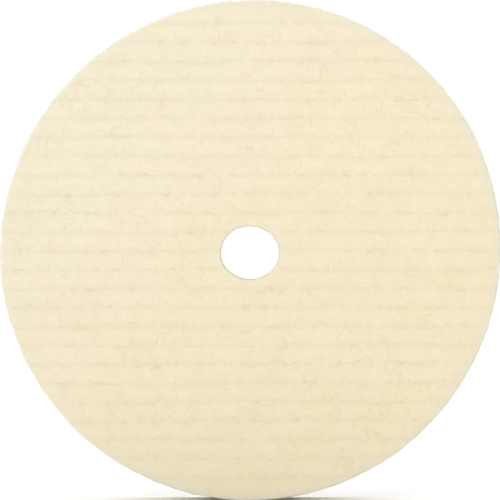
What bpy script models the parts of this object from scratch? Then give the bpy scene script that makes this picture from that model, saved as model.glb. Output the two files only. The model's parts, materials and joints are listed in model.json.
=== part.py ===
"""Felt polishing wheel: a needled felt disc with a centre hole, bonded to a loop-cloth backing.

The wheel is a laminate. Each layer comes off a roll as a sheet, the sheets are bonded, and a
ring die cuts the outline and the centre hole through the whole stack. The script follows that
order: every layer starts as a square blank, and a Boolean with the die cuts it to shape.

Frame: the wheel stands on edge. It spins about Y, its working face looks along -Y, the needle
furrows run along X, and Z is up. The origin is the centre of the wheel. Units are metres.
"""

import math

import bmesh
import bpy

# Outline and hole. The soft felt relaxes once it is cut, so the hole ends up a little wider
# along the furrows than across them, and a little off the wheel's centre.
WHEEL_DIAMETER = 0.125
HOLE_WIDTH = 0.01465
HOLE_HEIGHT = 0.01325
HOLE_CENTRE_X = -0.0003
HOLE_CENTRE_Z = -0.00055
DIE_SEGMENTS = 128

# The scrim and the adhesive don't relax with the felt, so they stop this far inside every edge.
INNER_SETBACK = 0.0003

# Layer thicknesses, from the working face to the back.
FACE_PLY = 0.0042
SCRIM = 0.0004
BACK_PLY = 0.0022
ADHESIVE = 0.0003
LOOP_CLOTH = 0.0017
BOND_GAP = 0.0003
WHEEL_THICKNESS = FACE_PLY + SCRIM + BACK_PLY + ADHESIVE + LOOP_CLOTH + 4 * BOND_GAP

# The furrows that the needle rows leave in the working face. One runs through the centre. The
# profile gives each furrow's shape as (share of the width, share of the depth).
FURROW_PITCH = 0.00474
FURROW_WIDTH = 0.0024
FURROW_DEPTH = 0.00025
FURROW_PROFILE = ((-0.5, 0.0), (-0.25, 0.5), (0.0, 1.0), (0.25, 0.5), (0.5, 0.0))

# How far a blank reaches past the outline, and the die past both faces.
TRIM_MARGIN = 0.004
BLANK_REACH = WHEEL_DIAMETER / 2 + TRIM_MARGIN

# Edges that turn by more than this stay sharp where a surface is shaded smooth.
SHARP_ANGLE = math.radians(30)


def clear_scene():
    for obj in list(bpy.data.objects):
        bpy.data.objects.remove(obj)


def principled(name, colour, roughness, metallic=0.0):
    material = bpy.data.materials.new(name)
    material.use_nodes = True
    shader = material.node_tree.nodes["Principled BSDF"]
    shader.inputs["Base Color"].default_value = (*colour, 1.0)
    shader.inputs["Roughness"].default_value = roughness
    shader.inputs["Metallic"].default_value = metallic
    return material


def linked_object(name, mesh, parent=None):
    obj = bpy.data.objects.new(name, mesh)
    obj.parent = parent
    bpy.context.scene.collection.objects.link(obj)
    return obj


def mesh_from(bm, name):
    bmesh.ops.recalc_face_normals(bm, faces=bm.faces)
    mesh = bpy.data.meshes.new(name)
    bm.to_mesh(mesh)
    bm.free()
    return mesh


def oval_loop(bm, width, height, centre_x, centre_z, y):
    """A closed loop of edges round an oval in the plane at y."""
    points = []
    for step in range(DIE_SEGMENTS):
        angle = 2 * math.pi * step / DIE_SEGMENTS
        x = centre_x + width / 2 * math.cos(angle)
        z = centre_z + height / 2 * math.sin(angle)
        points.append(bm.verts.new((x, y, z)))
    return [bm.edges.new((a, b)) for a, b in zip(points, points[1:] + points[:1])]


def ring_die(name, setback):
    """A prism along Y: the wheel's outline outside, the oval hole inside, both set back."""
    bm = bmesh.new()
    reach = WHEEL_THICKNESS / 2 + TRIM_MARGIN
    diameter = WHEEL_DIAMETER - 2 * setback
    hole_width = HOLE_WIDTH + 2 * setback
    hole_height = HOLE_HEIGHT + 2 * setback
    outlines = []
    holes = []
    for y in (-reach, reach):
        outline = oval_loop(bm, diameter, diameter, 0.0, 0.0, y)
        hole = oval_loop(bm, hole_width, hole_height, HOLE_CENTRE_X, HOLE_CENTRE_Z, y)
        bmesh.ops.bridge_loops(bm, edges=outline + hole)
        outlines += outline
        holes += hole
    bmesh.ops.bridge_loops(bm, edges=outlines)
    bmesh.ops.bridge_loops(bm, edges=holes)
    die = linked_object(name, mesh_from(bm, name))
    die.data.shade_smooth()
    die.data.set_sharp_from_angle(angle=SHARP_ANGLE)
    die.hide_render = True
    die.display_type = "WIRE"
    return die


def furrow_rows():
    """(height, depth) pairs up the working face: one dip of FURROW_PROFILE for each furrow."""
    last = int((BLANK_REACH - FURROW_WIDTH) / FURROW_PITCH)
    rows = [(-BLANK_REACH, 0.0)]
    for number in range(-last, last + 1):
        middle = number * FURROW_PITCH
        for across, deep in FURROW_PROFILE:
            rows.append((middle + across * FURROW_WIDTH, deep * FURROW_DEPTH))
    rows.append((BLANK_REACH, 0.0))
    return rows


def flat_rows():
    return [(-BLANK_REACH, 0.0), (BLANK_REACH, 0.0)]


def sheet_blank(name, thickness, rows):
    """A square sheet in the XZ plane, its front face shaped by rows of (height, depth)."""
    bm = bmesh.new()
    front = [bm.verts.new((-BLANK_REACH, depth - thickness / 2, z)) for z, depth in rows]
    back = [bm.verts.new((-BLANK_REACH, thickness / 2, z)) for z in (BLANK_REACH, -BLANK_REACH)]
    side = bm.faces.new(front + back)
    swept = bmesh.ops.extrude_face_region(bm, geom=[side])
    moved = [item for item in swept["geom"] if isinstance(item, bmesh.types.BMVert)]
    bmesh.ops.translate(bm, verts=moved, vec=(2 * BLANK_REACH, 0.0, 0.0))
    return mesh_from(bm, name)


def cut_layer(name, thickness, front_y, material, die, wheel, rows):
    """One layer of the laminate: a sheet blank behind front_y, cut to shape by the die."""
    layer = linked_object(name, sheet_blank(name, thickness, rows), wheel)
    layer.location.y = front_y + thickness / 2
    layer.data.materials.append(material)
    cut = layer.modifiers.new("die_cut", "BOOLEAN")
    cut.operation = "INTERSECT"
    cut.object = die


def felt_face_ply(front_y, felt, die, wheel):
    """The working ply, with the furrows that the needle rows leave in it."""
    cut_layer("felt_face_ply", FACE_PLY, front_y, felt, die, wheel, furrow_rows())


def carrier_scrim(front_y, cloth, die, wheel):
    """The open woven cloth that both felt plies are needled to."""
    cut_layer("carrier_scrim", SCRIM, front_y, cloth, die, wheel, flat_rows())


def felt_back_ply(front_y, felt, die, wheel):
    cut_layer("felt_back_ply", BACK_PLY, front_y, felt, die, wheel, flat_rows())


def adhesive_film(front_y, glue, die, wheel):
    """The hot-melt film that holds the loop cloth to the felt."""
    cut_layer("adhesive_film", ADHESIVE, front_y, glue, die, wheel, flat_rows())


def loop_backing(front_y, cloth, die, wheel):
    """The loop cloth that grips the hooks of a backing pad, at the height of its pile."""
    cut_layer("loop_backing", LOOP_CLOTH, front_y, cloth, die, wheel, flat_rows())


def build():
    clear_scene()
    face_felt = principled("face_felt", (0.87, 0.77, 0.56), 0.95)
    scrim_cloth = principled("scrim_cloth", (0.80, 0.76, 0.66), 0.85)
    back_felt = principled("back_felt", (0.85, 0.75, 0.55), 0.95)
    glue = principled("hot_melt", (0.72, 0.62, 0.40), 0.45)
    loop_cloth = principled("loop_cloth", (0.78, 0.77, 0.74), 0.90)

    wheel = linked_object("wheel", None)
    felt_die = ring_die("felt_die", 0.0)
    inner_die = ring_die("inner_die", INNER_SETBACK)

    face_y = -WHEEL_THICKNESS / 2
    scrim_y = face_y + FACE_PLY + BOND_GAP
    back_y = scrim_y + SCRIM + BOND_GAP
    glue_y = back_y + BACK_PLY + BOND_GAP
    loop_y = glue_y + ADHESIVE + BOND_GAP

    felt_face_ply(face_y, face_felt, felt_die, wheel)
    carrier_scrim(scrim_y, scrim_cloth, inner_die, wheel)
    felt_back_ply(back_y, back_felt, felt_die, wheel)
    adhesive_film(glue_y, glue, inner_die, wheel)
    loop_backing(loop_y, loop_cloth, felt_die, wheel)


build()
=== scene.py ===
"""The looks of the felt polishing wheel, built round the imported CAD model.

The wheel stands on edge: its working face looks along -Y and its loop-cloth backing along +Y.
Every layer of the CAD laminate gets its own detailed piece here. From the face to the back:

  felt_face      the furrowed working ply, with needle dashes and a soft die-cut edge
  scrim_yarns    the open scrim between the plies, whose yarn ends show in the edge
  felt_back      the back ply
  hot_melt_film  the film that bonds the backing, squeezed out a little at the edge
  loop_cloth     the knitted ground of the backing, with loop_pile_* standing on it

Loose wool fibres (*_fibres) stand proud of the felt on the face, the rim and in the hole.
"""

import json
import math

import bpy
import numpy as np
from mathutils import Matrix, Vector
from mathutils.geometry import delaunay_2d_cdt


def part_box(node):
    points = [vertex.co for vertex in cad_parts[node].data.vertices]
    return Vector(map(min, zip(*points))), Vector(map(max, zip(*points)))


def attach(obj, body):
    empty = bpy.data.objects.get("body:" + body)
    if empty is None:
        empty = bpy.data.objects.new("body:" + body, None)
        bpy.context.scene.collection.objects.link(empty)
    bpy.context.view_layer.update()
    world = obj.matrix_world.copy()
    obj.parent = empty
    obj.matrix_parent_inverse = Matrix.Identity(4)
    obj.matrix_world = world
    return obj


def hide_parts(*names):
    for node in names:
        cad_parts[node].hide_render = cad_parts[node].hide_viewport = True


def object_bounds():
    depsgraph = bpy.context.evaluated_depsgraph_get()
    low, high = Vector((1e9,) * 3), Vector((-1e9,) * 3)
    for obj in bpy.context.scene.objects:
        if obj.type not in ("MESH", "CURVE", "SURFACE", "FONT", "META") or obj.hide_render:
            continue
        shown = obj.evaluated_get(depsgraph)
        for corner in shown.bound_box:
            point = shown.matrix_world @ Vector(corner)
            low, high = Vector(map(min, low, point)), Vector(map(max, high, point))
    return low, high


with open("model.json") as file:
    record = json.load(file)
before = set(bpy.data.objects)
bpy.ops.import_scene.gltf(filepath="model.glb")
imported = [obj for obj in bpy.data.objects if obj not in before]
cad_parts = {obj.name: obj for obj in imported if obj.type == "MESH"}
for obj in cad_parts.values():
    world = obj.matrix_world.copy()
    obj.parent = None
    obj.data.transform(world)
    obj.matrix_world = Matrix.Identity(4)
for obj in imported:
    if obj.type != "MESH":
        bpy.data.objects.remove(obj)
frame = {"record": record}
CAD_LOW, CAD_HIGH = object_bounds()

MM = 0.001
TURN = 2 * math.pi

# ---------------------------------------------------------------- driving dimensions

DIAMETER = CAD_HIGH.x - CAD_LOW.x
RADIUS = DIAMETER / 2
FLOOR = CAD_LOW.z

# The felt relaxed out of round after it was cut: a long axis towards the upper right, and a
# weaker three-lobed swelling. The shares are of the radius, and the angles are from +X.
MEAN_SHARE = 0.9992
OVAL_SHARE = 0.0050
OVAL_TOWARDS = math.radians(49)
LOBE_SHARE = 0.0020
LOBE_TOWARDS = math.radians(64)

# The centre hole: its middle as the CAD model has it, and its given width and height.
OPENING = frame["record"]["physics"]["openings"][0]["box_m"]
HOLE_X = (OPENING[0][0] + OPENING[1][0]) / 2
HOLE_Z = (OPENING[0][2] + OPENING[1][2]) / 2
HOLE_WIDTH = 14.65 * MM
HOLE_HEIGHT = 13.25 * MM

# Needle furrows along X, each a soft groove of this spread across Z. Rows are level at the top.
# Towards the bottom they rise more and more to the right, up to this much over the wheel's
# width, and all of them wander a little.
FURROW_PITCH = 4.74 * MM
FURROW_SPREAD = 0.66 * MM
FURROW_DEPTH = 0.12 * MM
FURROW_RISE = 0.75 * MM
FURROW_WANDER = 0.28 * MM
FURROW_ROWS = range(-14, 15)

# How strongly the furrows show: on average, how much that changes slowly and quickly along a
# row, and the least and the most. The cells are the lengths over which a row's wander, its slow
# fading and its quick breaks change.
FURROW_WEIGHT = 0.72
FURROW_FADE = 0.30
FURROW_BREAK = 0.26
FURROW_LIMITS = (0.12, 1.3)
WANDER_CELL = 17 * MM
FADE_CELL = 8 * MM
BREAK_CELL = 1.7 * MM

# Needle dashes in the furrows: their spacing, half length, half width, depth, share of that
# depth, and scatter across the furrow. A row has room for fewer dashes than are drawn for it.
DASH_STEP = (1.6 * MM, 5.2 * MM)
DASH_LENGTH = (0.35 * MM, 1.30 * MM)
DASH_WIDTH = 0.30 * MM
DASH_DEPTH = 0.09 * MM
DASH_SHARE = (0.25, 1.0)
DASH_SCATTER = 0.12 * MM
DASHES_DRAWN = 60
DASH_SEED = 1000

# Unevenness of the felt: height and size of the lumps, ripples and grain of its face, and of
# the waver of its outlines.
LUMPS = (0.085 * MM, 11 * MM)
RIPPLES = (0.040 * MM, 2.6 * MM)
GRAIN = (0.022 * MM, 0.9 * MM)
RIM_WAVER = (0.05 * MM, 6 * MM)
HOLE_WAVER = (0.07 * MM, 3.5 * MM)

# The die pressed the felt denser and a little lower near its edges, which also carry painted shade:
# how far in from each edge, how strongly, how much the rim leans to its most pressed and shaded
# side, the lower right, away from the light, and how deep.
RIM_PRESS_AND_SHADE = (1.5 * MM, 0.60)
HOLE_PRESS_AND_SHADE = (0.7 * MM, 0.30)
PRESS_AND_SHADE_LEAN = 0.42
PRESS_AND_SHADE_TOWARDS = math.radians(-45)
PRESS_DEPTH = 0.12 * MM

# Round edges of the plies, how far the rim bulges, and the height and size of the roughness of
# the cut walls. Thin layers add to it: (share of its height, thickness), and their thickness as
# a share of their length.
FACE_ROUND = 0.34 * MM
HOLE_ROUND = 0.22 * MM
INNER_ROUND = 0.30 * MM
WALL_BULGE = 0.14 * MM
WALL_ROUGH = (0.055 * MM, 1.1 * MM)
LAYERS = (0.4, 0.45 * MM)
LAYER_FLATNESS = 0.12

# The plies close over the scrim at a lip this wide round every edge, all but this gap. The lip's
# edge, its inner side and the ply's own plane start at these shares of its width. The back ply
# also swells towards the film behind it.
SEAM_LIP = 0.6 * MM
LIP_SHARES = (0.6, 1.0, 1.3)
SEAM_GAP = 0.06 * MM
BACK_SWELL = 0.18 * MM

# The hole's edge gives way by this much, and by this much more for each metre of depth.
HOLE_EASE = 0.17 * MM
HOLE_FLARE = 0.030

# Nothing reaches lower than this: the felt, the loops and the fibres are pressed flat here.
FOOT = FLOOR + 0.02 * MM

# How closely the outlines are divided, and the front edges, sides and back edges of the walls.
RIM_SEGMENTS = 1024
HOLE_SEGMENTS = 320
EDGE_LEVELS = 7
SIDE_LEVELS = 10
BACK_LEVELS = 4

# Lines of points along each furrow: (offset from its middle, step along it) of the fine ones in
# the furrow, and the offsets and the step of the wider ones beside it. All keep off the edges.
FINE_LINES = ((0.0, 0.30 * MM), (0.28 * MM, 0.32 * MM), (-0.28 * MM, 0.32 * MM))
WIDE_OFFSETS = (0.58 * MM, 0.92 * MM, 1.32 * MM, 1.80 * MM)
WIDE_STEP = 0.62 * MM
KEEP_OFF = FACE_ROUND + 0.22 * MM


# ---------------------------------------------------------------- smooth random heights

LATTICE = 512


def ease(t):
    return t * t * (3 - 2 * t)


def noise_field(seed, cell):
    """A smooth random function of two lengths, between -1 and 1, that varies over about a cell."""
    lattice = np.random.default_rng(seed).uniform(-1.0, 1.0, (LATTICE, LATTICE))

    def height(u, v):
        u, v = np.broadcast_arrays(np.asarray(u) / cell, np.asarray(v) / cell)
        i, j = np.floor(u).astype(int), np.floor(v).astype(int)
        s, t = ease(u - i), ease(v - j)
        i, next_i = i % LATTICE, (i + 1) % LATTICE
        j, next_j = j % LATTICE, (j + 1) % LATTICE
        low = (1 - s) * lattice[i, j] + s * lattice[next_i, j]
        high = (1 - s) * lattice[i, next_j] + s * lattice[next_i, next_j]
        return (1 - t) * low + t * high

    return height


row_wander = noise_field(1, WANDER_CELL)
row_fading = noise_field(2, FADE_CELL)
row_breaks = noise_field(3, BREAK_CELL)
lumps = noise_field(4, LUMPS[1])
ripples = noise_field(5, RIPPLES[1])
grain = noise_field(6, GRAIN[1])
rim_waver = noise_field(7, RIM_WAVER[1])
hole_waver = noise_field(8, HOLE_WAVER[1])
wall_rough = noise_field(9, WALL_ROUGH[1])
wall_layers = noise_field(10, LAYERS[1])


# ---------------------------------------------------------------- outlines and relief

def rim_radius(angle):
    """The wheel's radius at an angle from +X, with the waver of a soft cut edge."""
    oval = OVAL_SHARE * np.cos(2 * (angle - OVAL_TOWARDS))
    lobes = LOBE_SHARE * np.cos(3 * (angle - LOBE_TOWARDS))
    waver = RIM_WAVER[0] * rim_waver(RADIUS * np.cos(angle), RADIUS * np.sin(angle))
    return RADIUS * (MEAN_SHARE + oval + lobes) + waver


def hole_radius(angle):
    """The hole's radius at an angle from +X, seen from the hole's own centre."""
    a, b = HOLE_WIDTH / 2, HOLE_HEIGHT / 2
    oval = a * b / np.hypot(b * np.cos(angle), a * np.sin(angle))
    waver = HOLE_WAVER[0] * hole_waver(oval * np.cos(angle), oval * np.sin(angle))
    return oval + HOLE_EASE + waver


def row_line(row, cell):
    """Where a row runs through a noise field: two cells from the next row, so no two are alike."""
    return row * 2 * cell


def row_middle(row, x):
    """Height of a furrow's middle at x."""
    level = row * FURROW_PITCH
    rise = FURROW_RISE * (0.5 - level / DIAMETER) * x / DIAMETER
    return level + rise + FURROW_WANDER * row_wander(x, row_line(row, WANDER_CELL))


def row_weight(row, x):
    """How strongly a furrow shows at x: it fades in and out, and breaks into short lengths."""
    slow = row_fading(x, row_line(row, FADE_CELL))
    quick = row_breaks(x, row_line(row, BREAK_CELL))
    return np.clip(FURROW_WEIGHT + FURROW_FADE * slow + FURROW_BREAK * quick, *FURROW_LIMITS)


def needle_dashes():
    """The dashes of each furrow: (place along it, half length, share of the depth, shift)."""
    dashes = {}
    for row in FURROW_ROWS:
        rng = np.random.default_rng(DASH_SEED + row)
        places = -RADIUS + np.cumsum(rng.uniform(*DASH_STEP, DASHES_DRAWN))
        places = places[places < RADIUS]
        lengths = rng.uniform(*DASH_LENGTH, len(places))
        shares = rng.uniform(*DASH_SHARE, len(places))
        shifts = rng.normal(0.0, DASH_SCATTER, len(places))
        dashes[row] = list(zip(places, lengths, shares, shifts))
    return dashes


DASHES = needle_dashes()


def furrows(x, z):
    """How much furrow and how much needle dash there is at each place on the working face.

    A furrow counts up to four spreads from its middle, and a dash up to three half lengths.
    """
    furrow = np.zeros_like(x)
    dashed = np.zeros_like(x)
    for row in FURROW_ROWS:
        off = z - row_middle(row, x)
        near = np.flatnonzero(np.abs(off) < 4 * FURROW_SPREAD)
        across = np.exp(-0.5 * (off[near] / FURROW_SPREAD) ** 2)
        furrow[near] += across * row_weight(row, x[near])
        for place, length, share, shift in DASHES[row]:
            hit = near[np.abs(x[near] - place) < 3 * length]
            apart = ((x[hit] - place) / length) ** 2 + ((off[hit] - shift) / DASH_WIDTH) ** 2
            dashed[hit] = np.maximum(dashed[hit], share * np.exp(-apart))
    return furrow, dashed


def pressed(x, z):
    """How much the die pressed the felt, which also masks the painted shade at the edges: about 1
    at the rim's lower right, 0 well inside.
    """
    angle = np.arctan2(z, x)
    from_rim = np.maximum(rim_radius(angle) - np.hypot(x, z), 0.0)
    dx, dz = x - HOLE_X, z - HOLE_Z
    from_hole = np.maximum(np.hypot(dx, dz) - hole_radius(np.arctan2(dz, dx)), 0.0)
    strength = RIM_PRESS_AND_SHADE[1] + PRESS_AND_SHADE_LEAN * np.cos(angle - PRESS_AND_SHADE_TOWARDS)
    at_rim = strength * np.exp(-from_rim / RIM_PRESS_AND_SHADE[0])
    return at_rim + HOLE_PRESS_AND_SHADE[1] * np.exp(-from_hole / HOLE_PRESS_AND_SHADE[0])


def relief(x, z):
    """Depth of the working face behind its highest plane."""
    furrow, dashed = furrows(x, z)
    uneven = LUMPS[0] * (1 + lumps(x, z)) / 2 + RIPPLES[0] * ripples(x, z) + GRAIN[0] * grain(x, z)
    return FURROW_DEPTH * furrow + DASH_DEPTH * dashed + PRESS_DEPTH * pressed(x, z) + uneven


# ---------------------------------------------------------------- mesh making

def mesh_object(name, points, faces, materials, smooth=True):
    mesh = bpy.data.meshes.new(name)
    mesh.from_pydata([tuple(p) for p in points], [], faces)
    for material in materials:
        mesh.materials.append(material)
    if smooth:
        mesh.shade_smooth()
    mesh.validate()
    mesh.update()
    obj = bpy.data.objects.new(name, mesh)
    bpy.context.scene.collection.objects.link(obj)
    return obj


def point_attribute(obj, name, values):
    layer = obj.data.attributes.new(name, "FLOAT", "POINT")
    layer.data.foreach_set("value", np.asarray(values, dtype=np.float32))


def rim_ring(inset, y):
    """Points (x, z) round the rim, moved inwards by inset. They are the same at every depth y."""
    angle = np.arange(RIM_SEGMENTS) * TURN / RIM_SEGMENTS
    r = rim_radius(angle) - inset
    return r * np.cos(angle), np.maximum(r * np.sin(angle), FOOT)


def hole_ring(inset, y):
    """Points (x, z) round the hole at depth y, moved by inset out of the hole into the felt."""
    angle = np.arange(HOLE_SEGMENTS) * TURN / HOLE_SEGMENTS
    r = hole_radius(angle) + inset + HOLE_FLARE * (y - CAD_LOW.y)
    return HOLE_X + r * np.cos(angle), HOLE_Z + r * np.sin(angle)


INSIDE_ONLY = 1
NEARLY_TOUCHING = 1e-9


def triangulate(x, z, rings):
    """Triangles over the points (x, z), inside the first ring of indices and outside the second."""
    edges = []
    for ring in rings:
        edges += list(zip(ring, ring[1:] + ring[:1]))
    flat = [Vector((a, b)) for a, b in zip(x, z)]
    _, _, faces, origin, _, _ = delaunay_2d_cdt(flat, edges, [], INSIDE_ONLY, NEARLY_TOUCHING)
    source = np.array([old[0] for old in origin])
    corners = source[np.array(faces)]
    inner = rings[1]
    ring_x, ring_z = x[inner] - HOLE_X, z[inner] - HOLE_Z
    middle_x, middle_z = x[corners].mean(axis=1) - HOLE_X, z[corners].mean(axis=1) - HOLE_Z
    angle, ring_angle = np.arctan2(middle_z, middle_x), np.arctan2(ring_z, ring_x)
    hole_edge = np.interp(angle, ring_angle, np.hypot(ring_x, ring_z), period=TURN)
    return corners[np.hypot(middle_x, middle_z) > hole_edge].tolist()


def edge_profile(thickness, front_round, back_round):
    """(inset, depth, bulge) down a cut wall: round front edge, swollen side, round back edge."""
    profile = []
    for turn in np.linspace(0, math.pi / 2, EDGE_LEVELS):
        inset, depth = front_round * (1 - math.sin(turn)), front_round * (1 - math.cos(turn))
        profile.append((inset, depth, 0.0))
    side = thickness - front_round - back_round
    for share in np.linspace(0, 1, SIDE_LEVELS)[1:-1]:
        profile.append((0.0, front_round + side * share, math.sin(math.pi * share)))
    for turn in np.linspace(math.pi / 2, 0, BACK_LEVELS):
        inset, rise = back_round * (1 - math.sin(turn)), back_round * (1 - math.cos(turn))
        profile.append((inset, thickness - rise, 0.0))
    return profile


def lip_profile(lip_depth, plane_depth):
    """From the edge's lip at the seam, over the lip's inner side, to the ply's own flat plane."""
    depths = (lip_depth, (lip_depth + plane_depth) / 2, plane_depth)
    return [(SEAM_LIP * share, depth, 0.0) for share, depth in zip(LIP_SHARES, depths)]


def wall_rings(ring_at, profile, front_y, lift, shift):
    """Rings of points down a cut wall, roughened, with the face's relief fading down the edge.

    The shift moves the wall along the noise, so that no two walls are alike.
    """
    rings = []
    x, z = ring_at(0.0, front_y)
    arc = np.concatenate(([0.0], np.cumsum(np.hypot(np.diff(x), np.diff(z)))))
    bulge_height = WALL_BULGE if ring_at is rim_ring else 0.0
    for inset, depth, bulge in profile:
        layers = LAYERS[0] * wall_layers(arc * LAYER_FLATNESS + shift, depth)
        rough = wall_rough(arc + shift, depth) + layers
        on_side = max(0.0, 1 - inset / INNER_ROUND)
        y = front_y + depth
        x, z = ring_at(inset - bulge_height * bulge - WALL_ROUGH[0] * rough * on_side, y)
        fade = max(0.0, 1 - depth / (2 * FACE_ROUND))
        rings.append((x, np.full_like(x, y) + fade * lift(x, z), z))
    return rings


def stitch(start, count, rings, outward):
    """Quads between rings of count points each, laid out one after another from start."""
    faces = []
    for k in range(rings - 1):
        a, b = start + k * count, start + (k + 1) * count
        for i in range(count):
            j = (i + 1) % count
            quad = (a + i, b + i, b + j, a + j)
            faces.append(quad if outward else quad[::-1])
    return faces


def keep_on_felt(x, z, margin):
    """The points that lie on the wheel, at least margin inside the rim and off the hole."""
    on_wheel = np.hypot(x, z) < rim_radius(np.arctan2(z, x)) - margin
    x, z = x[on_wheel], z[on_wheel]
    dx, dz = x - HOLE_X, z - HOLE_Z
    off_hole = np.hypot(dx, dz) > hole_radius(np.arctan2(dz, dx)) + margin
    return x[off_hole], z[off_hole]


def face_points():
    """Points over the working face, close together in the furrows and wider apart between."""
    lines = list(FINE_LINES)
    for offset in WIDE_OFFSETS:
        lines += [(offset, WIDE_STEP), (-offset, WIDE_STEP)]
    lines.append((FURROW_PITCH / 2, WIDE_STEP))
    xs, zs = [], []
    for row in FURROW_ROWS:
        for number, (offset, step) in enumerate(lines):
            stagger = step / 2 if number % 2 else 0.0
            x = np.arange(-RADIUS, RADIUS, step) + stagger
            x, z = keep_on_felt(x, row_middle(row, x) + offset, KEEP_OFF)
            xs.append(x)
            zs.append(z)
    return np.concatenate(xs), np.concatenate(zs)


def annulus(name, rim, hole, front_fill, back_fill, materials, edge_levels=0):
    """One closed body from rings down the rim and the hole wall, with points to fill each face.

    The fills are (x, y, z) arrays, or None for a face that is only stretched between its rings.
    The faces take the first material, and the walls the last one from edge_levels rings down.
    The body is returned with the x and z of all its points.
    """
    empty = (np.zeros(0),) * 3
    front_fill, back_fill = front_fill or empty, back_fill or empty
    groups = [*rim, *hole, front_fill, back_fill]
    x, y, z = (np.concatenate([group[axis] for group in groups]) for axis in range(3))
    levels = len(rim)
    hole_start = levels * RIM_SEGMENTS
    front_start = hole_start + levels * HOLE_SEGMENTS
    back_start = front_start + len(front_fill[0])

    faces = stitch(0, RIM_SEGMENTS, levels, outward=True)
    hole_walls = len(faces)
    faces += stitch(hole_start, HOLE_SEGMENTS, levels, outward=False)
    ends = ((0, range(front_start, back_start), 1), (levels - 1, range(back_start, len(x)), -1))
    for level, fill, winding in ends:
        rim_ids = range(level * RIM_SEGMENTS, (level + 1) * RIM_SEGMENTS)
        hole_from = hole_start + level * HOLE_SEGMENTS
        ids = [*rim_ids, *range(hole_from, hole_from + HOLE_SEGMENTS), *fill]
        rings = [
            list(range(RIM_SEGMENTS)),
            list(range(RIM_SEGMENTS, RIM_SEGMENTS + HOLE_SEGMENTS)),
        ]
        for triangle in triangulate(x[ids], z[ids], rings):
            faces.append([ids[corner] for corner in triangle][::winding])

    body = mesh_object(name, np.column_stack((x, y, z)), faces, materials)
    slots = np.zeros(len(body.data.polygons), dtype=np.int32)
    for start, count in ((0, RIM_SEGMENTS), (hole_walls, HOLE_SEGMENTS)):
        slots[start + edge_levels * count:start + (levels - 1) * count] = len(materials) - 1
    body.data.polygons.foreach_set("material_index", slots)
    return body, x, z


def face_ply(face_material, wall_material):
    """The furrowed working ply. Its back edge reaches down to the seam over the scrim."""
    low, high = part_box("felt_face_ply")
    seam = (high.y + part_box("felt_back_ply")[0].y) / 2 - SEAM_GAP / 2

    lip = lip_profile(seam - low.y, high.y - low.y)
    rim_profile = edge_profile(seam - low.y, FACE_ROUND, INNER_ROUND) + lip
    hole_profile = edge_profile(seam - low.y, HOLE_ROUND, INNER_ROUND) + lip
    rim = wall_rings(rim_ring, rim_profile, low.y, relief, 0.0)
    hole = wall_rings(hole_ring, hole_profile, low.y, relief, 0.7)
    fill_x, fill_z = face_points()
    fill = (fill_x, low.y + relief(fill_x, fill_z), fill_z)
    materials = [face_material, wall_material]
    ply, x, z = annulus("felt_face", rim, hole, fill, None, materials, EDGE_LEVELS - 1)
    furrow, dashed = furrows(x, z)
    point_attribute(ply, "furrow", furrow)
    point_attribute(ply, "dash", dashed)
    # The pressed share also masks the painted shade at the edges.
    point_attribute(ply, "pressed", pressed(x, z))
    return ply


def back_ply(wall_material):
    """The back ply. Its front edge reaches up to the seam over the scrim."""
    low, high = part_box("felt_back_ply")
    seam = (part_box("felt_face_ply")[1].y + low.y) / 2 + SEAM_GAP / 2
    profile = lip_profile(0.0, low.y - seam)[::-1]
    profile += edge_profile(high.y + BACK_SWELL - seam, INNER_ROUND, INNER_ROUND)

    def no_relief(x, z):
        return np.zeros_like(x)

    rim = wall_rings(rim_ring, profile, seam, no_relief, 1.9)
    hole = wall_rings(hole_ring, profile, seam, no_relief, 2.6)
    return annulus("felt_back", rim, hole, None, None, [wall_material])[0]


def tubes(name, paths, radii, sides, material):
    """One mesh of thin tubes. paths is (tubes, points, 3), and radii gives each point's radius."""
    paths = np.asarray(paths)
    count, length, _ = paths.shape
    ahead = np.gradient(paths, axis=1)
    ahead /= np.linalg.norm(ahead, axis=2, keepdims=True)
    # The helper is Y, or X where a tube runs nearly along Y.
    helper = np.where(np.abs(ahead[..., 1:2]) < 0.8, [[[0.0, 1.0, 0.0]]], [[[1.0, 0.0, 0.0]]])
    across = np.cross(ahead, helper)
    across /= np.linalg.norm(across, axis=2, keepdims=True)
    up = np.cross(ahead, across)
    angle = (np.arange(sides) * TURN / sides)[:, None]
    spread = across[:, :, None] * np.cos(angle) + up[:, :, None] * np.sin(angle)
    points = paths[:, :, None] + spread * np.broadcast_to(radii, (count, length))[:, :, None, None]

    k, i = np.meshgrid(np.arange(length - 1), np.arange(sides), indexing="ij")
    j = (i + 1) % sides
    quads = np.stack((k * sides + i, k * sides + j, (k + 1) * sides + j, (k + 1) * sides + i), -1)
    per_tube = quads.reshape(-1, 4)
    starts = np.arange(count) * length * sides
    faces = (per_tube[None] + starts[:, None, None]).reshape(-1, 4).tolist()
    first = np.arange(sides)[::-1]
    last = np.arange(sides) + (length - 1) * sides
    faces += (first[None] + starts[:, None]).tolist() + (last[None] + starts[:, None]).tolist()
    return mesh_object(name, points.reshape(-1, 3), faces, [material])


# ---------------------------------------------------------------- materials

FABRIC_SPECULAR = 0.25
SHEEN_ROUGHNESS = 0.45


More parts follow.
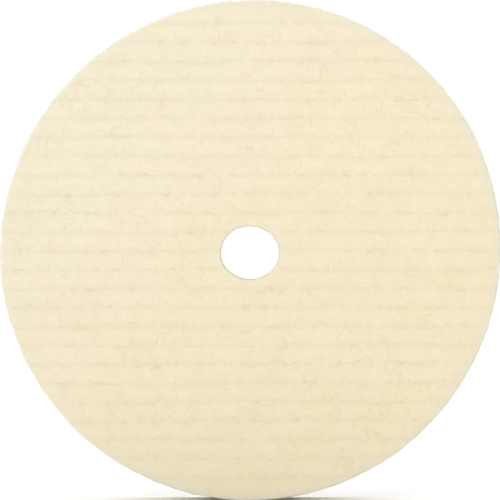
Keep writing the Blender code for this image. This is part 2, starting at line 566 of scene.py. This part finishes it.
class Nodes:
    """A material's node tree, with short ways to add the nodes used here."""

    def __init__(self, name, roughness, sheen, sheen_tint):
        self.material = bpy.data.materials.new(name)
        self.material.use_nodes = True
        self.tree = self.material.node_tree
        self.shader = self.tree.nodes["Principled BSDF"]
        self.shader.inputs["Roughness"].default_value = roughness
        self.shader.inputs["Specular IOR Level"].default_value = FABRIC_SPECULAR
        self.shader.inputs["Sheen Weight"].default_value = sheen
        self.shader.inputs["Sheen Roughness"].default_value = SHEEN_ROUGHNESS
        self.shader.inputs["Sheen Tint"].default_value = (*sheen_tint, 1.0)
        self.place = self.add("ShaderNodeTexCoord").outputs["Object"]

    def add(self, kind, **settings):
        node = self.tree.nodes.new(kind)
        for key, value in settings.items():
            setattr(node, key, value)
        return node

    def link(self, source, target):
        self.tree.links.new(source, target)

    def stretched(self, scale, turn=(0.0, 0.0, 0.0)):
        """Object coordinates turned and scaled, in features per metre along each axis."""
        mapping = self.add("ShaderNodeMapping", vector_type="TEXTURE")
        mapping.inputs["Rotation"].default_value = turn
        mapping.inputs["Scale"].default_value = [1 / s for s in scale]
        self.link(self.place, mapping.inputs["Vector"])
        return mapping.outputs["Vector"]

    def noise(self, scale, turn=(0.0, 0.0, 0.0), detail=2.0, roughness=0.5):
        node = self.add("ShaderNodeTexNoise")
        node.inputs["Scale"].default_value = 1.0
        node.inputs["Detail"].default_value = detail
        node.inputs["Roughness"].default_value = roughness
        self.link(self.stretched(scale, turn), node.inputs["Vector"])
        return node.outputs["Fac"]

    def math(self, operation, a, b):
        """The result of an operation on a value and on another value or a number."""
        node = self.add("ShaderNodeMath", operation=operation)
        self.link(a, node.inputs[0])
        if isinstance(b, float):
            node.inputs[1].default_value = b
        else:
            self.link(b, node.inputs[1])
        return node.outputs[0]

    def spread(self, value, low, high, to_low=0.0, to_high=1.0):
        """The value, with low to high stretched to to_low to to_high and cut off there."""
        node = self.add("ShaderNodeMapRange", clamp=True)
        ends = {"From Min": low, "From Max": high, "To Min": to_low, "To Max": to_high}
        for key, number in ends.items():
            node.inputs[key].default_value = number
        self.link(value, node.inputs["Value"])
        return node.outputs["Result"]

    def along(self, direction, low, high):
        """How far a point is from low (0) to high (1) along a direction."""
        product = self.add("ShaderNodeVectorMath", operation="DOT_PRODUCT")
        self.link(self.place, product.inputs[0])
        product.inputs[1].default_value = direction
        return self.spread(product.outputs["Value"], low, high)

    def mix(self, share, a, b):
        """Colour a where share is 0 and colour b where it is 1."""
        node = self.add("ShaderNodeMix", data_type="RGBA")
        self.link(share, node.inputs["Factor"])
        for socket, value in zip((node.inputs[6], node.inputs[7]), (a, b)):
            if isinstance(value, tuple):
                socket.default_value = (*value, 1.0)
            else:
                self.link(value, socket)
        return node.outputs[2]

    def attribute(self, name):
        return self.add("ShaderNodeAttribute", attribute_name=name).outputs["Fac"]

    def finish(self, colour, bump=None, bump_height=0.0, roughness=None):
        self.link(colour, self.shader.inputs["Base Color"])
        if roughness is not None:
            self.link(roughness, self.shader.inputs["Roughness"])
        if bump is not None:
            node = self.add("ShaderNodeBump")
            node.inputs["Distance"].default_value = bump_height
            self.link(bump, node.inputs["Height"])
            self.link(node.outputs["Normal"], self.shader.inputs["Normal"])
        return self.material


# Colours of the working face. Deep and pale wool each have a shaded and a lit copy, as painted
# shade:
# one for the lower right of the wheel and one for the upper left, where the light comes from.
DEEP_WOOL_SHADED_TO_LIT = ((0.893, 0.774, 0.521), (0.862, 0.786, 0.592))
PALE_WOOL_SHADED_TO_LIT = ((0.943, 0.832, 0.588), (0.913, 0.850, 0.674))
TO_UPPER_LEFT = (-0.77, 0.0, 0.64)
CLOUDY_WOOL = (0.945, 0.850, 0.665)
SPECK_WOOL = (0.790, 0.655, 0.440)
# Painted shade for the furrows and the needle dashes.
FURROW_SHADE = (0.800, 0.665, 0.450)
DASH_SHADE = (0.660, 0.520, 0.330)
# Painted shade at the edges, with the denser felt the die pressed; strongest at the lower right.
PRESSED_WOOL_AND_SHADE = (0.795, 0.770, 0.655)

# Colours of the other materials, each from its deepest to its palest, and of the tufts that
# stand out of the cut wall.
CUT_WOOL = ((0.830, 0.735, 0.545), (0.915, 0.840, 0.660))
TUFT_WOOL = (0.930, 0.880, 0.735)
LOOSE_WOOL = ((0.880, 0.780, 0.580), (0.960, 0.890, 0.730))
COTTON = ((0.700, 0.640, 0.500), (0.860, 0.810, 0.690))
AMBER = ((0.560, 0.430, 0.220), (0.740, 0.620, 0.380))
KNIT = ((0.660, 0.648, 0.608), (0.830, 0.820, 0.785))
NYLON = ((0.890, 0.880, 0.850), (0.950, 0.946, 0.925))
FLOOR_PAINT = ((0.945, 0.945, 0.945), (0.955, 0.955, 0.955))

WARM_SHEEN = (1.0, 0.95, 0.85)
CREAM_SHEEN = (1.0, 0.97, 0.90)
COTTON_SHEEN = (1.0, 1.0, 0.95)
WHITE_SHEEN = (1.0, 1.0, 1.0)

STREAK_DEGREES = (8, 52, 97, 143)


def fibre_pattern(nodes):
    """Matted wool: streaks of fibre in several directions in the plane of the face."""
    streaks = []
    for degrees in STREAK_DEGREES:
        turn = (0.0, math.radians(degrees), 0.0)
        streaks.append(nodes.noise((420, 900, 3600), turn, detail=2.0))
    top = streaks[0]
    for streak in streaks[1:]:
        top = nodes.math("MAXIMUM", top, streak)
    return nodes.spread(top, 0.48, 0.80)


def face_felt():
    """Cream wool felt: fibre streaks, cloudy density, and painted shade in the furrows, the needle
    dashes and at the pressed edges.

    Painted shade: the wool is drawn yellower and a little darker towards the lower right, away from
    the light at the upper left.
    """
    nodes = Nodes("face_felt", 0.95, 0.20, WARM_SHEEN)
    fibres = fibre_pattern(nodes)
    clouds = nodes.noise((75, 75, 110), detail=3.0)
    specks = nodes.noise((900, 900, 900), detail=2.0, roughness=0.7)
    # Painted shade: the wool is drawn lighter towards the upper left, where the light comes from.
    painted_light = nodes.along(TO_UPPER_LEFT, -RADIUS, RADIUS)
    colour = nodes.mix(fibres, nodes.mix(painted_light, *DEEP_WOOL_SHADED_TO_LIT), nodes.mix(painted_light, *PALE_WOOL_SHADED_TO_LIT))
    colour = nodes.mix(nodes.spread(clouds, 0.30, 0.72, 0.0, 0.35), colour, CLOUDY_WOOL)
    colour = nodes.mix(nodes.spread(specks, 0.60, 0.85, 0.0, 0.25), colour, SPECK_WOOL)
    # Painted shade: the furrows and the needle dashes are drawn darker.
    furrow = nodes.spread(nodes.attribute("furrow"), 0.0, 1.2, 0.0, 0.25)
    colour = nodes.mix(furrow, colour, FURROW_SHADE)
    dash = nodes.spread(nodes.attribute("dash"), 0.0, 1.0, 0.0, 0.19)
    colour = nodes.mix(dash, colour, DASH_SHADE)
    # Painted shade at the edges, with the denser pressed felt, strongest at the rim's lower right.
    edge = nodes.spread(nodes.attribute("pressed"), 0.0, 1.0, 0.0, 0.80)
    colour = nodes.mix(edge, colour, PRESSED_WOOL_AND_SHADE)
    streaky, speckled = nodes.math("MULTIPLY", fibres, 0.7), nodes.math("MULTIPLY", specks, 0.5)
    bump = nodes.math("ADD", streaky, speckled)
    rough = nodes.spread(specks, 0.3, 0.7, 0.88, 1.0)
    return nodes.finish(colour, bump, 0.045 * MM, rough)


def cut_felt():
    """The cut wall of the felt: fibre layers seen end on, a little denser and duller."""
    nodes = Nodes("cut_felt", 0.97, 0.20, WARM_SHEEN)
    layers = nodes.noise((620, 2400, 620), detail=4.0, roughness=0.70)
    tufts = nodes.noise((1000, 1300, 1000), detail=4.0, roughness=0.75)
    colour = nodes.mix(nodes.spread(layers, 0.30, 0.70), *CUT_WOOL)
    colour = nodes.mix(nodes.spread(tufts, 0.52, 0.75, 0.0, 0.55), colour, TUFT_WOOL)
    bump = nodes.math("ADD", layers, nodes.math("MULTIPLY", tufts, 0.8))
    rough = nodes.spread(tufts, 0.3, 0.7, 0.90, 1.0)
    return nodes.finish(colour, bump, 0.10 * MM, rough)


def loose_wool():
    """Single wool fibres, each a little lighter or darker along its length."""
    nodes = Nodes("loose_wool", 0.80, 0.35, CREAM_SHEEN)
    shade = nodes.noise((700, 700, 700), detail=2.0)
    return nodes.finish(nodes.mix(nodes.spread(shade, 0.3, 0.7), *LOOSE_WOOL))


def scrim_yarn():
    """Undyed cotton, with painted shade between its twisted strands."""
    nodes = Nodes("scrim_yarn", 0.80, 0.15, COTTON_SHEEN)
    twist = nodes.noise((1800, 1800, 1800), detail=2.0)
    colour = nodes.mix(nodes.spread(twist, 0.35, 0.65), *COTTON)
    return nodes.finish(colour, twist, 0.05 * MM)


def hot_melt():
    """Amber hot-melt film: satin, cloudy, with fine flow streaks."""
    nodes = Nodes("hot_melt", 0.40, 0.0, WHITE_SHEEN)
    nodes.shader.inputs["Specular IOR Level"].default_value = 0.5
    nodes.shader.inputs["Subsurface Weight"].default_value = 0.15
    nodes.shader.inputs["Subsurface Scale"].default_value = 0.5 * MM
    flow = nodes.noise((260, 2400, 260), detail=3.0)
    colour = nodes.mix(nodes.spread(flow, 0.3, 0.7), *AMBER)
    rough = nodes.spread(flow, 0.3, 0.7, 0.32, 0.55)
    return nodes.finish(colour, flow, 0.05 * MM, rough)


def knit_ground():
    """The fine grey-white threads of the loop cloth's knitted ground."""
    nodes = Nodes("knit_ground", 0.85, 0.20, WHITE_SHEEN)
    thread = nodes.noise((1500, 1500, 1500), detail=2.0)
    colour = nodes.mix(nodes.spread(thread, 0.3, 0.7), *KNIT)
    return nodes.finish(colour, thread, 0.08 * MM)


def loop_yarn():
    """Nylon loop yarn: off-white with a soft lustre."""
    nodes = Nodes("loop_yarn", 0.55, 0.30, WHITE_SHEEN)
    shade = nodes.noise((160, 160, 160), detail=3.0)
    colour = nodes.mix(nodes.spread(shade, 0.3, 0.7), *NYLON)
    rough = nodes.spread(shade, 0.3, 0.7, 0.50, 0.65)
    return nodes.finish(colour, roughness=rough)


# ---------------------------------------------------------------- fibres, yarns and loops

def above_floor(paths, radius):
    """Fibres and yarns near the foot of the wheel are pressed flat by the floor."""
    paths[..., 2] = np.maximum(paths[..., 2], FOOT + radius)
    return paths


# A fibre's radius at each of its points, from its root to its tip, and the sides of its tube.
FIBRE_RADIUS = np.array([0.020, 0.024, 0.024, 0.022, 0.017, 0.008]) * MM
FIBRE_SIDES = 3

# How a fibre curls: turns along its length, and sideways sway as a share of the length. It rises
# through this part of a half turn, with its ends sunk into the felt by a share of its lift.
CURL_TURNS = (0.4, 1.3)
CURL_SWAY = (0.06, 0.22)
RISE_START, RISE_SPAN = 0.12, 0.68
ROOT_SINK = 0.35

# The loose fibres: how many are drawn, and their lengths and lifts in millimetres. The lifts
# follow a gamma distribution (shape, scale) on top of a least lift, and stop at a most.
FACE_FIBRES, RIM_FIBRES, HOLE_FIBRES = 4200, 6200, 450
FACE_FIBRE_LENGTH, WALL_FIBRE_LENGTH = (0.8, 3.2), (0.6, 2.4)
FACE_LIFT, FACE_LIFT_LEAST, FACE_LIFT_MOST = (2.0, 0.028), 0.03, 0.30
WALL_LIFT, WALL_LIFT_LEAST, RIM_LIFT_MOST, HOLE_LIFT_MOST = (2.0, 0.11), 0.05, 0.8, 0.3

# How near to the wheel's middle and how far from it face fibres are rooted, and how far all of
# their length keeps off the rim and the hole.
FACE_ROOTS = (8.6 * MM, RADIUS - 1.6 * MM)
FIBRE_OFF_RIM = 0.5 * MM
FIBRE_OFF_HOLE = 0.2 * MM

# Where wall fibres are rooted: how far behind the face and before the back ply's back. They tilt
# towards the wall's middle by an angle in this range (radians). Where the front edge is round
# they start deeper, by this share of how far in front of the straight wall they are.
WALL_ROOTS = (0.25 * MM, 0.1 * MM)
WALL_TILT = (-0.1, 0.6)
ROUND_SINK = 0.45


def curly_paths(rng, roots, along, out, lengths, lifts):
    """Curly fibres from root points: they run along the surface and lift off it along out."""
    count = len(roots)
    side = np.cross(along, out)
    t = np.linspace(0.0, 1.0, len(FIBRE_RADIUS))[None, :, None]
    phase = rng.uniform(0, TURN, (count, 1, 1))
    turns = rng.uniform(*CURL_TURNS, (count, 1, 1))
    curl = rng.uniform(*CURL_SWAY, (count, 1, 1)) * lengths[:, None, None]
    sway = curl * (np.sin(TURN * turns * t + phase) - np.sin(phase))
    lift = lifts[:, None, None]
    rise = lift * np.sin(math.pi * (RISE_START + RISE_SPAN * t)) - ROOT_SINK * lift
    run = lengths[:, None, None] * t
    return roots[:, None] + along[:, None] * run + side[:, None] * sway + out[:, None] * rise


def face_fibres(material):
    """Loose fibres lying on the working face, each with its whole length on the felt."""
    rng = np.random.default_rng(21)
    count = FACE_FIBRES
    r = np.sqrt(rng.uniform(FACE_ROOTS[0] ** 2, FACE_ROOTS[1] ** 2, count))
    angle = rng.uniform(0, TURN, count)
    x, z = r * np.cos(angle), r * np.sin(angle)
    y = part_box("felt_face_ply")[0].y + relief(x, z)
    heading = rng.uniform(0, TURN, count)
    along = np.column_stack((np.cos(heading), np.zeros(count), np.sin(heading)))
    out = np.tile([0.0, -1.0, 0.0], (count, 1))
    lengths = rng.uniform(*FACE_FIBRE_LENGTH, count) * MM
    lifts = np.minimum(rng.gamma(*FACE_LIFT, count) + FACE_LIFT_LEAST, FACE_LIFT_MOST) * MM
    paths = curly_paths(rng, np.column_stack((x, y, z)), along, out, lengths, lifts)
    from_middle = np.hypot(paths[..., 0], paths[..., 2]).max(axis=1)
    from_hole = np.hypot(paths[..., 0] - HOLE_X, paths[..., 2] - HOLE_Z).min(axis=1)
    off_hole = from_hole > HOLE_WIDTH / 2 + FIBRE_OFF_HOLE
    on_felt = (from_middle < RADIUS - FIBRE_OFF_RIM) & off_hole
    return tubes("face_fibres", paths[on_felt], FIBRE_RADIUS, FIBRE_SIDES, material)


def wall_fibres(name, seed, count, ring, centre, outward, material):
    """Loose fibres on a cut wall of the felt: round the rim, or inside the hole.

    Outward is 1 where the wall faces away from the centre, and -1 where it faces the centre.
    """
    rng = np.random.default_rng(seed)
    low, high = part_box("felt_face_ply")[0].y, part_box("felt_back_ply")[1].y
    angle = rng.uniform(0, TURN, count)
    r = ring(angle)
    y = rng.uniform(low + WALL_ROOTS[0], high - WALL_ROOTS[1], count)
    on_round = np.maximum(0.0, FACE_ROUND - (y - low))
    r = r - outward * ROUND_SINK * on_round
    radial = outward * np.column_stack((np.cos(angle), np.zeros(count), np.sin(angle)))
    tangent = np.column_stack((-np.sin(angle), np.zeros(count), np.cos(angle)))
    roots = np.column_stack((centre[0] + r * np.cos(angle), y, centre[1] + r * np.sin(angle)))
    to_middle = np.sign((low + high) / 2 - y)
    tilt = (to_middle * rng.uniform(*WALL_TILT, count))[:, None]
    way = rng.choice([-1.0, 1.0], count)[:, None]
    along = way * tangent * np.cos(tilt) + np.sin(tilt) * np.array([0.0, 1.0, 0.0])
    lengths = rng.uniform(*WALL_FIBRE_LENGTH, count) * MM
    most = RIM_LIFT_MOST if outward > 0 else HOLE_LIFT_MOST
    lifts = np.minimum(rng.gamma(*WALL_LIFT, count) + WALL_LIFT_LEAST, most) * MM
    paths = above_floor(curly_paths(rng, roots, along, radial, lengths, lifts), FIBRE_RADIUS.max())
    return tubes(name, paths, FIBRE_RADIUS, FIBRE_SIDES, material)


# The scrim's yarns: their spacing and its scatter, how far the outermost ones keep off the rim,
# their radius, that of their thin cut ends, and the sides of their tubes. The tip and the neck
# of each end lie in from the rim by these shares of the seam's lip.
SCRIM_PITCH = 1.9 * MM
SCRIM_SCATTER = 0.08 * MM
SCRIM_MARGIN = 3 * MM
YARN_RADIUS = 0.16 * MM
YARN_TIP = 0.03 * MM
YARN_SIDES = 8
TIP_SHARE, NECK_SHARE = 0.3, 1.6


def chords(place, hole_middle, off_hole):
    """(start, end) of a straight line across the wheel at place, broken where it meets the hole."""
    half = math.sqrt(RADIUS ** 2 - place ** 2)
    gap = math.sqrt(max((HOLE_WIDTH / 2) ** 2 - off_hole ** 2, 0.0))
    if gap == 0.0:
        return [(-half, half)]
    return [(-half, hole_middle - gap), (hole_middle + gap, half)]


def scrim_yarns(material):
    """Two crossing sets of straight yarns. Their thin cut ends reach out through the seam."""
    low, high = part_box("carrier_scrim")
    seam, layer = (low.y + high.y) / 2, (high.y - low.y) / 4
    rng = np.random.default_rng(31)
    tip, neck = TIP_SHARE * SEAM_LIP, NECK_SHARE * SEAM_LIP
    inset = np.array([tip, neck, 2 * neck])
    radii = np.array([YARN_TIP, YARN_TIP, YARN_RADIUS, YARN_RADIUS, YARN_TIP, YARN_TIP])
    in_layer = radii == YARN_RADIUS
    paths = []
    count = int((RADIUS - SCRIM_MARGIN) / SCRIM_PITCH)
    for number in range(-count, count + 1):
        for upright in (False, True):
            place = number * SCRIM_PITCH + rng.normal(0.0, SCRIM_SCATTER)
            hole_middle, hole_across = (HOLE_Z, HOLE_X) if upright else (HOLE_X, HOLE_Z)
            for start, end in chords(place, hole_middle, place - hole_across):
                run = np.concatenate((start + inset, end - inset[::-1]))
                y = seam + (layer if upright else -layer) * in_layer
                other = np.full_like(run, place)
                paths.append(np.column_stack((other, y, run) if upright else (run, y, other)))
    return tubes("scrim_yarns", np.array(paths), radii, YARN_SIDES, material)


# The film: how far it swells towards its neighbours, how far its edge is set back, how thick
# the bead along that edge is, how much more is squeezed out here and there and over what length.
FILM_SWELL = 0.07 * MM
FILM_SETBACK = 0.36 * MM
FILM_BEAD = 0.12 * MM
FILM_SQUEEZE = (0.14 * MM, 3.5 * MM)
FILM_LEVELS = 5


def film(material):
    """The bonding film, which fills its joint and is squeezed out a little here and there."""
    low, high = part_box("adhesive_film")
    front, back = low.y - FILM_SWELL, high.y + FILM_SWELL
    squeeze = noise_field(41, FILM_SQUEEZE[1])
    walls = []
    for ring_at in (rim_ring, hole_ring):
        rings = []
        for share in np.linspace(0.0, 1.0, FILM_LEVELS):
            y = front + share * (back - front)
            squeezed = FILM_SQUEEZE[0] * squeeze(*ring_at(0.0, y))
            bead = FILM_BEAD * math.sin(math.pi * share) + squeezed
            x, z = ring_at(FILM_SETBACK - bead, y)
            rings.append((x, np.full_like(x, y), z))
        walls.append(rings)
    return annulus("hot_melt_film", *walls, None, None, [material])[0]


# The knitted ground: how far it swells towards the film, its thickness, and the steps between
# the points of its back. Its edge is set back, bulges halfway, and is frayed by (depth, size),
# with the fraying shifted a little from front to back. The ribs on its back have this height
# above and below a plane this far inside the back, and keep off the edges by a margin.
GROUND_SWELL = 0.18 * MM
GROUND_THICKNESS = 0.5 * MM
GROUND_STEP_X = 0.38 * MM
GROUND_STEP_Z = 0.90 * MM
GROUND_SETBACK = 0.22 * MM
GROUND_BULGE = 0.08 * MM
GROUND_FRAY = (0.10 * MM, 0.6 * MM)
FRAY_LEAN = 0.7 * MM
RIB_HEIGHT = 0.11 * MM
RIB_INSET = 0.14 * MM
RIB_MARGIN = 0.8 * MM

# The pile: the spacing of its loops and how the loops are scattered, in x and in z, and the
# margin they keep off the edges. Each loop is a tube of so many points and sides. Its foot is
# sunk into the ground.
LOOP_STEP_X = 1.14 * MM
LOOP_STEP_Z = 0.68 * MM
LOOP_SCATTER = (0.09 * MM, 0.12 * MM)
LOOP_MARGIN = 0.7 * MM
LOOP_POINTS = 8
LOOP_SIDES = 3
LOOP_RADIUS = 0.085 * MM
LOOP_SINK = 0.28 * MM
PILE_PIECES = 5

# The shape of the loops. (least, most): their span in millimetres, and their height as a share
# of the room for it. (middle, scatter): their heading in radians, and their lean along Z and
# sway along X in millimetres. Loops widen above the foot and are blunt at the top.
LOOP_SPAN = (0.60, 1.00)
LOOP_HEIGHT = (0.62, 0.94)
LOOP_HEADING = (0.0, 0.40)
LOOP_LEAN = (0.30, 0.18)
LOOP_SWAY = (0.0, 0.12)
LOOP_WIDENING = 0.35
LOOP_BLUNTNESS = 0.7


def grid(step_x, step_z):
    """The x and the z of a grid of points over the whole wheel, row by row."""
    return np.meshgrid(np.arange(-RADIUS, RADIUS, step_x), np.arange(-RADIUS, RADIUS, step_z))


def loop_ground(material):
    """The knitted ground of the loop cloth, with ribs along Z on its back."""
    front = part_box("loop_backing")[0].y - GROUND_SWELL
    frayed = noise_field(61, GROUND_FRAY[1])
    walls = []
    for ring_at in (rim_ring, hole_ring):
        rings = []
        for share in (0.0, 0.5, 1.0):
            y = front + share * GROUND_THICKNESS
            ends = GROUND_FRAY[0] * frayed(*ring_at(FRAY_LEAN * share, y))
            inset = GROUND_SETBACK - GROUND_BULGE * math.sin(math.pi * share) - ends
            x, z = ring_at(inset, y)
            rings.append((x, np.full_like(x, y), z))
        walls.append(rings)
    x, z = grid(GROUND_STEP_X, GROUND_STEP_Z)
    x, z = keep_on_felt(x.ravel(), z.ravel(), RIB_MARGIN)
    ribs = RIB_HEIGHT * np.cos(TURN * x / LOOP_STEP_X)
    fill = (x, front + GROUND_THICKNESS - RIB_INSET + ribs, z)
    return annulus("loop_cloth", *walls, None, fill, [material])[0]


def loop_pile(material):
    """The pile: small leaning arches of yarn in staggered rows, as separate bands of loops."""
    rng = np.random.default_rng(51)
    low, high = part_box("loop_backing")
    foot = low.y + GROUND_THICKNESS - LOOP_SINK
    tallest = high.y - foot
    foot_x, foot_z = grid(LOOP_STEP_X, LOOP_STEP_Z)
    foot_x[1::2] += LOOP_STEP_X / 2
    foot_x = foot_x.ravel() + rng.normal(0.0, LOOP_SCATTER[0], foot_x.size)
    foot_z = foot_z.ravel() + rng.normal(0.0, LOOP_SCATTER[1], foot_z.size)
    foot_x, foot_z = keep_on_felt(foot_x, foot_z, LOOP_MARGIN)
    count = len(foot_x)

    heading = rng.normal(*LOOP_HEADING, count)
    span = rng.uniform(*LOOP_SPAN, count) * MM
    height = tallest * rng.uniform(*LOOP_HEIGHT, count)
    lean = rng.normal(*LOOP_LEAN, count) * MM
    sway = rng.normal(*LOOP_SWAY, count) * MM
    t = np.linspace(0.0, 1.0, LOOP_POINTS)[None]
    arch = np.sin(math.pi * t)
    along = span[:, None] / 2 * -np.cos(math.pi * t) * (1 + LOOP_WIDENING * arch)
    rise = arch ** LOOP_BLUNTNESS
    x = foot_x[:, None] + along * np.cos(heading)[:, None] + sway[:, None] * rise
    z = foot_z[:, None] + along * np.sin(heading)[:, None] + lean[:, None] * rise
    y = foot + height[:, None] * rise
    paths = above_floor(np.stack((x, y, z), axis=-1), LOOP_RADIUS)
    radii = np.full(LOOP_POINTS, LOOP_RADIUS)
    made = []
    for number, band in enumerate(np.array_split(paths, PILE_PIECES), start=1):
        made.append(tubes(f"loop_pile_{number}", band, radii, LOOP_SIDES, material))
    return made


# ---------------------------------------------------------------- the wheel

def build_wheel():
    """Every piece of the wheel, with what it rides on, replaces and is made of."""
    wool, wall = face_felt(), cut_felt()
    fibre = loose_wool()

    face = face_ply(wool, wall)
    back = back_ply(wall)
    scrim = scrim_yarns(scrim_yarn())
    glue = film(hot_melt())
    ground = loop_ground(knit_ground())
    pile = loop_pile(loop_yarn())
    hairs = [
        face_fibres(fibre),
        wall_fibres("rim_fibres", 22, RIM_FIBRES, rim_radius, (0.0, 0.0), 1, fibre),
        wall_fibres("hole_fibres", 23, HOLE_FIBRES, hole_radius, (HOLE_X, HOLE_Z), -1, fibre),
    ]

    for piece in [face, back, scrim, glue, ground, *pile, *hairs]:
        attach(piece, "root")
    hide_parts("felt_face_ply")
    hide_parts("felt_back_ply")
    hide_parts("carrier_scrim")
    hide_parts("adhesive_film")
    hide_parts("loop_backing")


# ---------------------------------------------------------------- studio

FLOOR_RADIUS = 2.5
FLOOR_SEGMENTS = 96

# Strengths of the dome in front, at the back, at the horizon and added at the top, and between
# which parts of a unit direction it changes from one to the next.
SKY_FRONT = 0.23
SKY_BACK = 0.95
HORIZON = 1.02
ZENITH = 1.50
FRONT_TO_BACK = (-0.25, 0.55)
HORIZON_TO_SKY = (0.10, 0.22)
SKY_TO_ZENITH = (0.65, 0.90)

KEY_POWER = 12.8
KEY_SIZE = 0.88
KEY_PLACE = (-0.95, -1.90, 1.22)


def stage_floor():
    """A wide round pale floor under the wheel."""
    angle = np.arange(FLOOR_SEGMENTS) * TURN / FLOOR_SEGMENTS
    circle = np.column_stack((np.cos(angle), np.sin(angle), np.zeros(FLOOR_SEGMENTS)))
    points = circle * FLOOR_RADIUS + (0, 0, FLOOR)
    nodes = Nodes("studio_floor", 0.9, 0.0, WHITE_SHEEN)
    paint = nodes.finish(nodes.mix(nodes.noise((3, 3, 3), detail=2.0), *FLOOR_PAINT))
    face = list(range(FLOOR_SEGMENTS))
    floor = mesh_object("studio_floor", points, [face], [paint], smooth=False)


def light_dome():
    """A white horizon all round and a bright top. Between them it is dim in front of the wheel."""
    world = bpy.data.worlds.new("studio")
    world.use_nodes = True
    bpy.context.scene.world = world
    tree = world.node_tree
    place = tree.nodes.new("ShaderNodeTexCoord")
    axes = tree.nodes.new("ShaderNodeSeparateXYZ")
    tree.links.new(place.outputs["Generated"], axes.inputs[0])

    def ramp(source, low, high, from_value, to_value):
        """A smooth change from one value to the other as the source goes from low to high."""
        node = tree.nodes.new("ShaderNodeMapRange")
        node.interpolation_type = "SMOOTHSTEP"
        for key, value in (("From Min", low), ("From Max", high)):
            node.inputs[key].default_value = value
        for key, value in (("To Min", from_value), ("To Max", to_value)):
            if isinstance(value, float):
                node.inputs[key].default_value = value
            else:
                tree.links.new(value, node.inputs[key])
        tree.links.new(source, node.inputs["Value"])
        return node.outputs["Result"]

    sky = ramp(axes.outputs["Y"], *FRONT_TO_BACK, SKY_FRONT, SKY_BACK)
    low = ramp(axes.outputs["Z"], *HORIZON_TO_SKY, HORIZON, sky)
    top = ramp(axes.outputs["Z"], *SKY_TO_ZENITH, 0.0, ZENITH)
    total = tree.nodes.new("ShaderNodeMath")
    total.operation = "ADD"
    tree.links.new(low, total.inputs[0])
    tree.links.new(top, total.inputs[1])
    tree.links.new(total.outputs[0], tree.nodes["Background"].inputs["Strength"])
    tree.nodes["Background"].inputs["Color"].default_value = (1.0, 1.0, 1.0, 1.0)


def key_light():
    """One large soft lamp at the upper left of the working face, aimed at the wheel's middle."""
    data = bpy.data.lights.new("key", "AREA")
    data.shape = "DISK"
    data.size = KEY_SIZE
    data.energy = KEY_POWER
    light = bpy.data.objects.new("key", data)
    light.location = KEY_PLACE
    light.rotation_mode = "QUATERNION"
    light.rotation_quaternion = (-Vector(KEY_PLACE)).to_track_quat("-Z", "Y")
    bpy.context.scene.collection.objects.link(light)


LENS = 200.0
SENSOR = 36.0
VIEW_WIDTH = 125.1 * MM
AIM_X = -0.27 * MM
AIM_Z = 0.12 * MM


def camera():
    """Straight at the working face, with the wheel touching all four sides of the view."""
    data = bpy.data.cameras.new("camera")
    data.lens = LENS
    data.sensor_width = SENSOR
    cam = bpy.data.objects.new("camera", data)
    cam.location = (AIM_X, CAD_LOW.y - VIEW_WIDTH * LENS / SENSOR, AIM_Z)
    cam.rotation_euler = (math.pi / 2, 0.0, 0.0)
    bpy.context.scene.collection.objects.link(cam)
    bpy.context.scene.camera = cam


build_wheel()
stage_floor()
light_dome()
key_light()
camera()
bpy.context.scene.view_settings.view_transform = "Standard"
